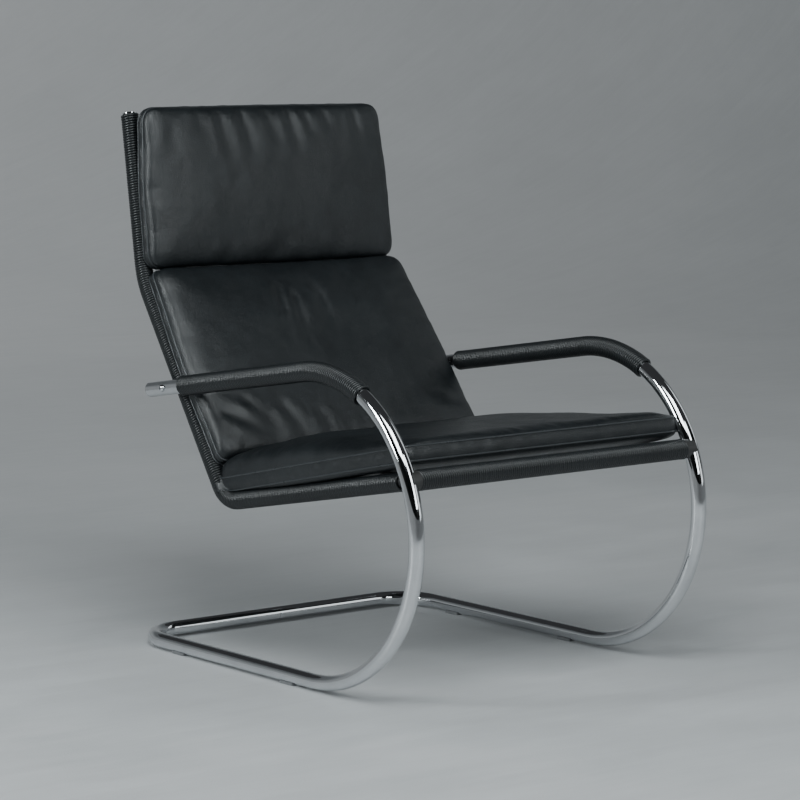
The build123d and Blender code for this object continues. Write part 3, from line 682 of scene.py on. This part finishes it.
def panel_net(sides):
    """Rows of points that fill the outline between its four sides."""
    low, right, top, left = sides
    top, left = top[::-1], left[::-1]
    columns, rows = len(low) - 1, len(right) - 1
    net = []
    for row in range(rows + 1):
        v = row / rows
        line = []
        for column in range(columns + 1):
            u = column / columns
            lengthwise = low[column] * (1 - v) + top[column] * v
            crosswise = left[row] * (1 - u) + right[row] * u
            flat = (low[0] * (1 - u) + low[-1] * u) * (1 - v) + (top[0] * (1 - u) + top[-1] * u) * v
            line.append(lengthwise + crosswise - flat)
        net.append(line)
    return net


# A panel is a net of small cells. It is round beside its seam and then rises slowly to the
# middle, the face over a longer way than the underside. The face stands out over the band, and
# where its crown starts low, it is full from this far up.
panel_cell = 0.0085
round_edge = 0.024
edge_share = 0.56
swell_share = 0.44
face_reach = 0.13
under_reach = 0.08
face_overhang = 0.0042
overhang_fullness = 2.2
full_swell_from = 0.34

# The band between face and underside bulges a little.
band_rows = 4
band_bulge = 0.0032


def crown_height(edge_distance, crown, reach):
    """Rise of a panel: a full round edge beside the seam, then a slow swell to the middle."""
    edge = min(1.0, edge_distance / round_edge)
    swell = min(1.0, edge_distance / reach)
    round_part = edge_share * math.sqrt(1 - (1 - edge) ** 2)
    return crown * (round_part + swell_share * math.sin(swell * math.pi / 2))


def sew_cushion(name, low_half, high_half, length, corner_radius, band_width, crown, under_crown,
                low_share):
    """The leather shell: face, band and underside as one closed mesh, in the cushion's own frame.

    At the lower end the face has only the low share of its crown. Its rim, the band and the
    underside are held while the leather is filled out.
    """
    columns = round(2 * low_half / panel_cell)
    rows = round(length / panel_cell)
    sides = cushion_outline(low_half, high_half, length, corner_radius, (columns, rows))
    net = panel_net(sides)
    rim = [point for side in sides for point in side[:-1]]
    rim_points = np.array([tuple(point) for point in rim])
    shell = bmesh.new()
    pinned = shell.verts.layers.float.new("pinned")
    grids = {}
    for is_face, base, height, reach in ((True, band_width, crown, face_reach),
                                         (False, 0.0, -under_crown, under_reach)):
        overhang = face_overhang if is_face else 0.0
        grid = []
        for row, line in enumerate(net):
            made = []
            for column, point in enumerate(line):
                offsets = rim_points - (point.x, point.y)
                distances = np.sqrt((offsets ** 2).sum(1))
                nearest = int(distances.argmin())
                distance = distances[nearest]
                on_rim = row in (0, rows) or column in (0, columns)
                rise = 0.0 if on_rim else crown_height(distance, height, reach)
                if is_face:
                    up_the_face = min(1.0, max(0.0, point.y) / full_swell_from)
                    rise *= low_share + (1 - low_share) * up_the_face**2 * (3 - 2 * up_the_face)
                outward = Vector((0, 0)) if on_rim else Vector(offsets[nearest]) / distance
                part = min(1.0, distance / round_edge)
                fullness = overhang * overhang_fullness * math.sin(math.pi * part)
                stand_out = (fullness + round_edge * part) * (1 - part)
                spot_x, spot_y = point + outward * stand_out
                made.append(shell.verts.new((spot_x, spot_y, base + rise)))
                made[-1][pinned] = 1.0 if on_rim or not is_face else 0.0
            grid.append(made)
        for row in range(rows):
            for column in range(columns):
                corners = [grid[row][column], grid[row][column + 1],
                           grid[row + 1][column + 1], grid[row + 1][column]]
                shell.faces.new(corners if is_face else corners[::-1])
        grids[is_face] = grid
    rings = []
    for is_face in (False, True):
        grid = grids[is_face]
        rings.append(grid[0][:-1] + [line[-1] for line in grid[:-1]]
                     + grid[-1][:0:-1] + [line[0] for line in grid[:0:-1]])
    between = []
    for step in range(1, band_rows):
        part = step / band_rows
        bulge = band_bulge * math.sin(math.pi * part)
        ring = []
        for number, low in enumerate(rings[0]):
            before = rings[0][number - 1].co
            after = rings[0][(number + 1) % len(rings[0])].co
            way = Vector((after.y - before.y, before.x - after.x)).normalized()
            place = (low.co.x + way.x * bulge, low.co.y + way.y * bulge, band_width * part)
            ring.append(shell.verts.new(place))
        between.append(ring)
    loops = [rings[0]] + between + [rings[1]]
    for low, high in zip(loops, loops[1:]):
        for number in range(len(low)):
            after = (number + 1) % len(low)
            shell.faces.new((low[number], low[after], high[after], high[number]))
    mesh = bpy.data.meshes.new(name)
    shell.normal_update()
    shell.to_mesh(mesh)
    shell.free()
    cushion = bpy.data.objects.new(name, mesh)
    bpy.context.scene.collection.objects.link(cushion)
    pins = mesh.attributes["pinned"].data
    held = cushion.vertex_groups.new(name="held")
    held.add([number for number, pin in enumerate(pins) if pin.value > 0], 1.0, "REPLACE")
    return cushion, rim


# The leather is cut a little larger than the foam, and settles under its pressure.
looseness = 0.03
pressure = 4.0
settle_steps = 20


def fill_out(cushion, cap):
    """Cloth simulation of the filling's push against loose leather held at its seams.

    No point of the leather moves farther than the cap.
    """
    rest = np.empty(len(cushion.data.vertices) * 3)
    cushion.data.vertices.foreach_get("co", rest)
    modifier = cushion.modifiers.new("leather", "CLOTH")
    cloth = modifier.settings
    cloth.quality = 6
    cloth.mass = 0.25
    cloth.tension_stiffness = 25
    cloth.compression_stiffness = 25
    cloth.shear_stiffness = 8
    cloth.bending_stiffness = 0.6
    cloth.use_pressure = True
    cloth.uniform_pressure_force = pressure
    cloth.shrink_min = -looseness
    cloth.effector_weights.gravity = 0
    cloth.vertex_group_mass = "held"
    modifier.collision_settings.use_collision = False
    scene = bpy.context.scene
    for number in range(1, settle_steps + 1):
        scene.frame_set(number)
    filled = cushion.evaluated_get(bpy.context.evaluated_depsgraph_get()).data
    moved = np.empty(len(rest))
    filled.vertices.foreach_get("co", moved)
    cushion.modifiers.remove(modifier)
    scene.frame_set(1)
    step = (moved - rest).reshape(-1, 3)
    size = np.linalg.norm(step, axis=1, keepdims=True)
    step *= cap * np.tanh(size / cap) / np.maximum(size, 1e-9)
    cushion.data.vertices.foreach_set("co", (rest.reshape(-1, 3) + step).ravel())
    cushion.data.update()


def finish_shell(cushion):
    """Eases the face's small bumps, and divides the shell once more into smaller faces."""
    start_clean()
    cushion.select_set(True)
    bpy.context.view_layer.objects.active = cushion
    smooth = cushion.modifiers.new("ease", "SMOOTH")
    smooth.factor = 0.5
    smooth.iterations = 3
    smooth.vertex_group = "held"
    smooth.invert_vertex_group = True
    bpy.ops.object.modifier_apply(modifier="ease")
    rounds = cushion.modifiers.new("rounds", "SUBSURF")
    rounds.levels = rounds.render_levels = 1
    bpy.ops.object.modifier_apply(modifier="rounds")
    cushion.data.shade_smooth()


# Puckers stand beside the seams and fade inwards, and the filling's unevenness starts farther in.
# Depths and the fold's waver are in millimetres.
pucker_depth = 1.0
pucker_start = 0.007
pucker_reach = 0.026
swell_depth = 1.3
swell_start = 0.05
fold_waver = 3.0


def fold_drop(x, y, start, end, half_width, depth):
    """How far one fold presses the leather in at a point, all in millimetres.

    A fold is deepest at its start, gets wider and shallower towards its end, and raises the
    leather a little on both its sides. It doesn't run quite straight.
    """
    run_x, run_y = end[0] - start[0], end[1] - start[1]
    length = math.hypot(run_x, run_y)
    part = ((x - start[0]) * run_x + (y - start[1]) * run_y) / length**2
    aside = ((x - start[0]) * run_y - (y - start[1]) * run_x) / length
    aside += fold_waver * noise.noise(Vector((part * 2, *start)))
    beyond = max(0.0, -part, part - 1) * length
    fade = math.exp(-(beyond / (half_width * 1.2)) ** 2)
    within = min(1.0, max(0.0, part))
    lengthwise = 0.5 + 0.5 * math.cos(math.pi * within**1.3)
    wide = half_width * (1 + 0.5 * within)
    fold = math.exp(-(aside / wide) ** 2) - 0.6 * math.exp(-((aside - 1.8 * wide) / wide) ** 2)
    fold -= 0.35 * math.exp(-((aside + 1.9 * wide) / wide) ** 2)
    return depth * fold * fade * lengthwise


def work_the_face(cushion, rim, band_width, creases, seed):
    """Folds, puckers beside the seams and the slow unevenness of the filling, pressed into the face."""
    rim_points = np.array([tuple(point) for point in rim])
    steps = np.linalg.norm(np.roll(rim_points, -1, 0) - rim_points, axis=1)
    along_rim = np.concatenate(([0.0], np.cumsum(steps)))
    for vertex in cushion.data.vertices:
        if vertex.co.z < band_width + 0.001:
            continue
        distances = np.hypot(rim_points[:, 0] - vertex.co.x, rim_points[:, 1] - vertex.co.y)
        nearest = int(distances.argmin())
        distance = distances[nearest]
        pucker = noise.noise(Vector((along_rim[nearest] * 62, distance * 12, seed)))
        pucker += 0.5 * noise.noise(Vector((along_rim[nearest] * 150, distance * 20, seed + 3)))
        swell = noise.noise(Vector((vertex.co.x * 13, vertex.co.y * 9, seed + 7)))
        swell += 0.45 * noise.noise(Vector((vertex.co.x * 34, vertex.co.y * 20, seed + 9)))
        drop = pucker_depth * pucker * min(1.0, distance / pucker_start) \
            * math.exp(-distance / pucker_reach)
        drop += swell_depth * swell * min(1.0, distance / swell_start)
        x, y = vertex.co.x * 1000, vertex.co.y * 1000
        for crease in creases:
            drop += fold_drop(x, y, *crease)
        vertex.co.z -= drop / 1000
    cushion.data.update()


# Seams are thin rolls. The stitches lie in the band, below the seam of the face.
seam_radius = 0.0015
stitch_length = 0.0042
stitch_pitch = 0.0052
stitch_radius = 0.00045
stitch_depth = 0.0002
stitch_height = 0.0003
stitch_inset = 0.0032


def sew_seam(name, rim, height):
    """The turned edge of a seam: a thin closed roll round the cushion."""
    places = [(corner.x, corner.y, height) for corner in rim]
    return round_tube(name, places, seam_radius, bevel_resolution=2, closed=True)


def stitch_row(name, cushion, rim, height):
    """A row of short thread stitches in the band, close beside a seam."""
    row = bmesh.new()
    lengths = [0.0]
    for number, point in enumerate(rim):
        lengths.append(lengths[-1] + (rim[(number + 1) % len(rim)] - point).length)
    place = 0
    count = int(lengths[-1] / stitch_pitch)
    for number in range(count):
        wanted = lengths[-1] * number / count
        while lengths[place + 1] < wanted:
            place += 1
        point, after = rim[place], rim[(place + 1) % len(rim)]
        way = (after - point).normalized()
        spot = point + way * (wanted - lengths[place])
        _, surface, normal, _ = cushion.closest_point_on_mesh(Vector((spot.x, spot.y, height)))
        along = Vector((way.x, way.y, 0.0))
        aside = normal.cross(along).normalized()
        tips = [row.verts.new(surface + along * stitch_length * end + normal * -stitch_depth)
                for end in (-0.5, 0.5)]
        ring = []
        for step in range(6):
            angle = math.pi * step / 3
            round_way = aside * math.cos(angle) + normal * math.sin(angle)
            ring.append(row.verts.new(surface + round_way * stitch_radius + normal * stitch_height))
        for step in range(6):
            row.faces.new((tips[0], ring[(step + 1) % 6], ring[step]))
            row.faces.new((tips[1], ring[step], ring[(step + 1) % 6]))
    bmesh.ops.recalc_face_normals(row, faces=row.faces)
    mesh = bpy.data.meshes.new(name)
    row.to_mesh(mesh)
    row.free()
    stitches = bpy.data.objects.new(name, mesh)
    bpy.context.scene.collection.objects.link(stitches)
    stitches.data.shade_smooth()
    return stitches


# From a rail's middle to leather that lies against its cord.
cord_clearance = 0.0158
rail_samples = 360


def press_against_rails(piece):
    """Leather that meets a wound rail gives way and lies against the cord."""
    points = np.empty(len(piece.data.vertices) * 3)
    piece.data.vertices.foreach_get("co", points)
    points = points.reshape(-1, 3)
    for corners in rail_lines:
        total, at = rounded_route(corners, rail_bend_radii)
        line = np.array([tuple(at(total * step / rail_samples)[0]) for step in range(rail_samples + 1)])
        for number, point in enumerate(points):
            away = point - line
            distances = np.sqrt((away ** 2).sum(1))
            nearest = distances.argmin()
            if distances[nearest] < cord_clearance:
                points[number] = line[nearest] + away[nearest] / distances[nearest] * cord_clearance
    piece.data.vertices.foreach_set("co", points.ravel())
    piece.data.update()


def make_cushion(name, foot, angle, run_length, start, end, halves, margins, lift, tilt, slip, swing,
                 corner_radius, band_width, crown, under_crown, low_share, cap, creases, seed):
    """One cushion with its seams, in place over its run of the rails.

    Its start and end are counted inwards from the run's two ends. The halves are about the rails'
    distances from the middle there, and the margins how far it reaches past them. It is lifted
    and tilted off the run. It lies loose, so it has slipped a little and swung by part of a degree.
    """
    low_half, high_half = halves
    grow = (high_half - low_half) / run_length
    low = low_half + grow * start + margins[0]
    high = low_half + grow * (run_length - end) + margins[1]
    length = run_length - end - start
    place = run_frame(foot, angle, start, lift, tilt) @ Matrix.Translation((slip, length / 2, 0)) \
        @ Matrix.Rotation(math.radians(swing), 4, "Z") @ Matrix.Translation((0, -length / 2, 0))
    cushion, rim = sew_cushion(name + "_cushion", low, high, length, corner_radius, band_width,
                               crown, under_crown, low_share)
    fill_out(cushion, cap)
    finish_shell(cushion)
    work_the_face(cushion, rim, band_width, creases, seed)
    face_seam = sew_seam(name + "_face_seam", rim, band_width)
    under_seam = sew_seam(name + "_under_seam", rim, 0.0)
    face_stitches = stitch_row(name + "_face_stitches", cushion, rim, band_width - stitch_inset)
    for piece in (cushion, face_seam, under_seam, face_stitches):
        piece.data.transform(place)
        press_against_rails(piece)
        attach(piece, "root")
    cushion_leather.wear(cushion)
    seam_leather.wear(face_seam, under_seam)
    thread.wear(face_stitches)
    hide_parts(name + "_cushion_cover", name + "_cushion_core")


# Each fold has its start and end, then its half width and depth. All are millimetres in the
# cushion's own frame, across from its middle and up from its lower end.
seat_folds = [
    ((-255, 60), (-190, 40), 8, 1.2), ((-60, 6), (-66, 40), 6, 0.8), ((40, 6), (30, 44), 7, 0.9),
    ((150, 8), (138, 36), 6, 0.7), ((-250, 420), (-150, 400), 12, 2.0), ((60, 400), (130, 360), 14, 1.6)]
back_folds = [
    ((-40, 300), (-54, 180), 11, 2.4), ((-14, 285), (-30, 145), 9, 2.6), ((40, 290), (34, 200), 11, 2.2),
    ((-105, 355), (-120, 250), 13, 1.4), ((112, 345), (104, 270), 12, 1.3),
    ((-240, 74), (-120, 4), 11, 2.4), ((-200, 92), (-140, 26), 9, 1.8), ((-128, 74), (-92, 2), 10, 2.4),
    ((-60, 60), (-30, 8), 10, 1.5), ((60, 52), (84, 6), 12, 1.4), ((-262, 22), (-222, 66), 8, 1.5),
    ((236, 60), (150, 100), 11, 1.8), ((232, 120), (170, 130), 10, 1.2)]
head_folds = [
    ((-104, 256), (-86, 165), 9, 2.2), ((-58, 256), (-32, 160), 10, 2.6), ((-4, 256), (22, 190), 8, 2.0),
    ((44, 256), (60, 165), 9, 2.4), ((76, 256), (96, 200), 7, 1.8), ((118, 256), (136, 210), 8, 1.7),
    ((184, 254), (198, 175), 9, 2.2), ((-150, 256), (-142, 215), 8, 1.2),
    ((-204, 226), (-192, 176), 14, 2.4), ((-22, 4), (50, 62), 13, 1.8), ((-120, 4), (-90, 48), 11, 1.4),
    ((120, 4), (150, 60), 12, 1.5), ((218, 40), (180, 90), 12, 1.2)]

seat_foot, back_foot, head_foot = [side_point(0, y, z) for half, y, z in rail_corners[:3]]
make_cushion(
    "seat", seat_foot, angle=-11.0, run_length=0.504, start=0.014, end=-0.014,
    halves=(0.276, 0.276), margins=(0.010, 0.003), lift=0.030, tilt=-1.7, slip=0.002, swing=0.0,
    corner_radius=0.010, band_width=0.023, crown=0.045, under_crown=0.015, low_share=0.28,
    cap=0.005, creases=seat_folds, seed=2)
make_cushion(
    "back", back_foot, angle=52.6, run_length=0.430, start=0.058, end=0.005,
    halves=(0.273, 0.252), margins=(0.005, 0.008), lift=0.0158, tilt=0.3, slip=0.0, swing=-0.5,
    corner_radius=0.014, band_width=0.013, crown=0.028, under_crown=0.013, low_share=1.0,
    cap=0.004, creases=back_folds, seed=17)
make_cushion(
    "head", head_foot, angle=77.0, run_length=0.2825, start=0.0122, end=0.0005,
    halves=(0.252, 0.240), margins=(0.0065, 0.0085), lift=0.0165, tilt=4.4, slip=-0.0015, swing=-0.65,
    corner_radius=0.026, band_width=0.013, crown=0.025, under_crown=0.018, low_share=1.0,
    cap=0.004, creases=head_folds, seed=31)
